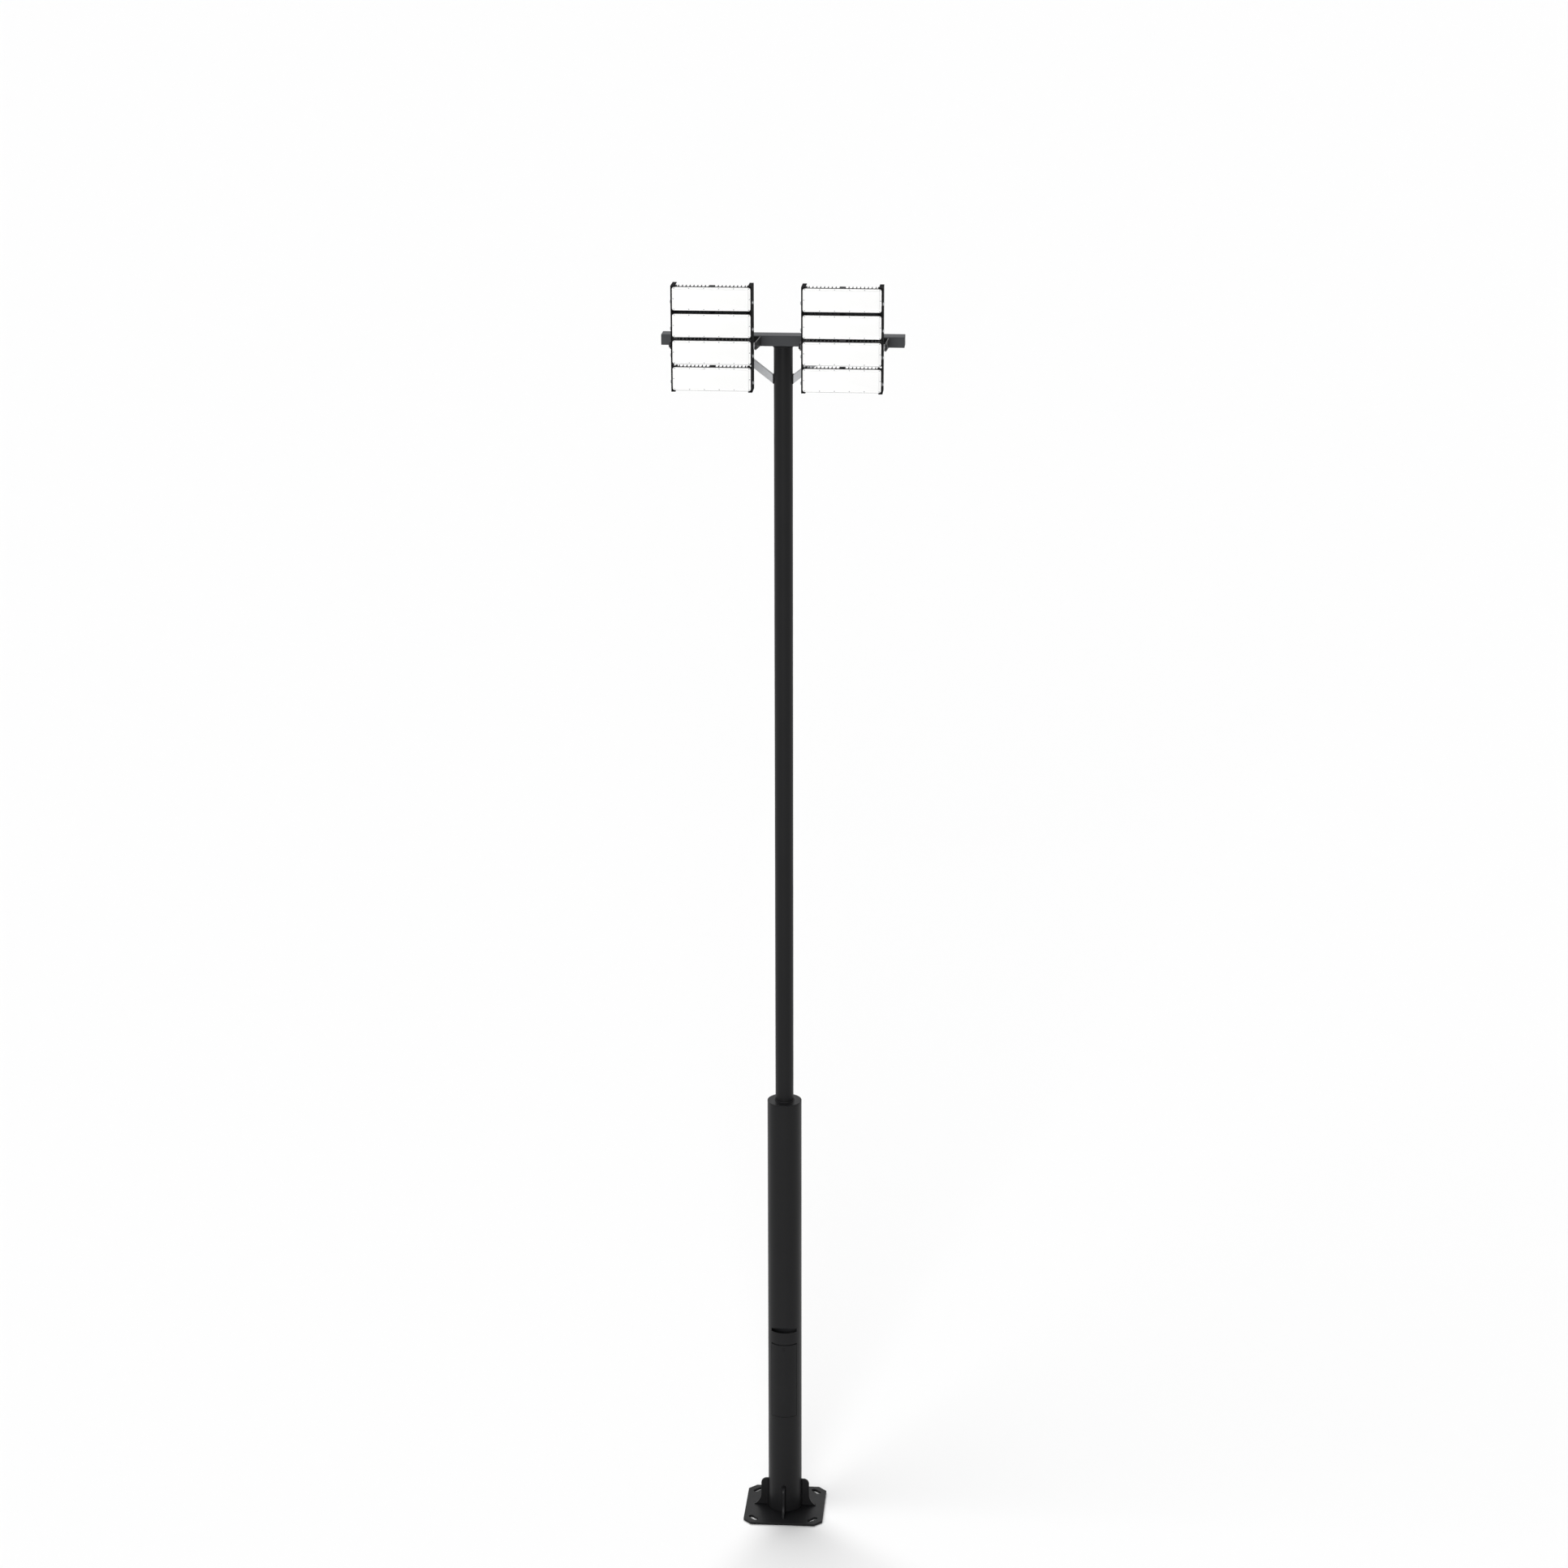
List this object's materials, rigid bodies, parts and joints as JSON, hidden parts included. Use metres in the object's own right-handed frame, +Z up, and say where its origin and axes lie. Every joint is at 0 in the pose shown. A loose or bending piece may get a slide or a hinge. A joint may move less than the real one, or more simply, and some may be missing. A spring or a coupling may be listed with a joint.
{
  "type": "park light pole",
  "caption": "Stepped tubular light pole on a gusseted slotted base plate, with a braced cross beam and tilting multi-module floodlights.",
  "frame": {"origin": "centre of the base plate's underside, where the pole stands on its footing", "axes": "+Z up along the pole, +X along the cross beam to the right of someone facing the lamps' light side, lamps face -Y"},
  "size_m": [1.13, 0.589, 6.3472],
  "materials": {
    "black_steel": "matt black powder coat",
    "black_aluminium": "matt black powder coat on aluminium",
    "galvanised": "light grey galvanised steel",
    "lock_steel": "dark plated steel",
    "opal": "opal white diffuser"
  },
  "bodies": {
    "pole": {"base_plate": "black_steel", "gusset_right": "black_steel", "gusset_back": "black_steel", "gusset_left": "black_steel", "gusset_front": "black_steel", "lower_shaft": "black_steel", "middle_shaft": "black_steel", "door_frame": "black_steel", "shaft_cap": "black_steel", "centring_ring": "black_steel", "upper_tube": "black_steel", "tube_flange": "black_steel", "cross_beam": "black_steel", "beam_cap_left": "black_steel", "beam_cap_right": "black_steel", "brace_pads": "black_steel", "brace_left": "galvanised", "brace_right": "galvanised", "left_yoke": "black_steel", "right_yoke": "black_steel"},
    "door": {"service_door": "black_steel", "door_lock": "lock_steel"},
    "left_lamp": {"left_pivots": "galvanised", "left_inner_plate": "black_aluminium", "left_outer_plate": "black_aluminium", "left_covers": "opal", "left_crossbar": "black_aluminium", "left_driver": "black_aluminium", "left_module_1": "black_aluminium", "left_module_2": "black_aluminium", "left_module_3": "black_aluminium", "left_module_4": "black_aluminium"},
    "right_lamp": {"right_pivots": "galvanised", "right_inner_plate": "black_aluminium", "right_outer_plate": "black_aluminium", "right_covers": "opal", "right_crossbar": "black_aluminium", "right_driver": "black_aluminium", "right_module_1": "black_aluminium", "right_module_2": "black_aluminium", "right_module_3": "black_aluminium", "right_module_4": "black_aluminium"}
  },
  "joints": [
    {"name": "left_tilt", "type": "hinge", "parent": "pole", "child": "left_lamp", "pos_m": [-0.297, -0.309, 6.061], "axis": [1, 0, 0], "range_deg": [-45, 90]},
    {"name": "right_tilt", "type": "hinge", "parent": "pole", "child": "right_lamp", "pos_m": [0.297, -0.309, 6.061], "axis": [1, 0, 0], "range_deg": [-45, 90]},
    {"name": "door_lift", "type": "slide", "parent": "pole", "child": "door", "axis": [0, -1, 0], "range_m": [0, 0.12]}
  ]
}
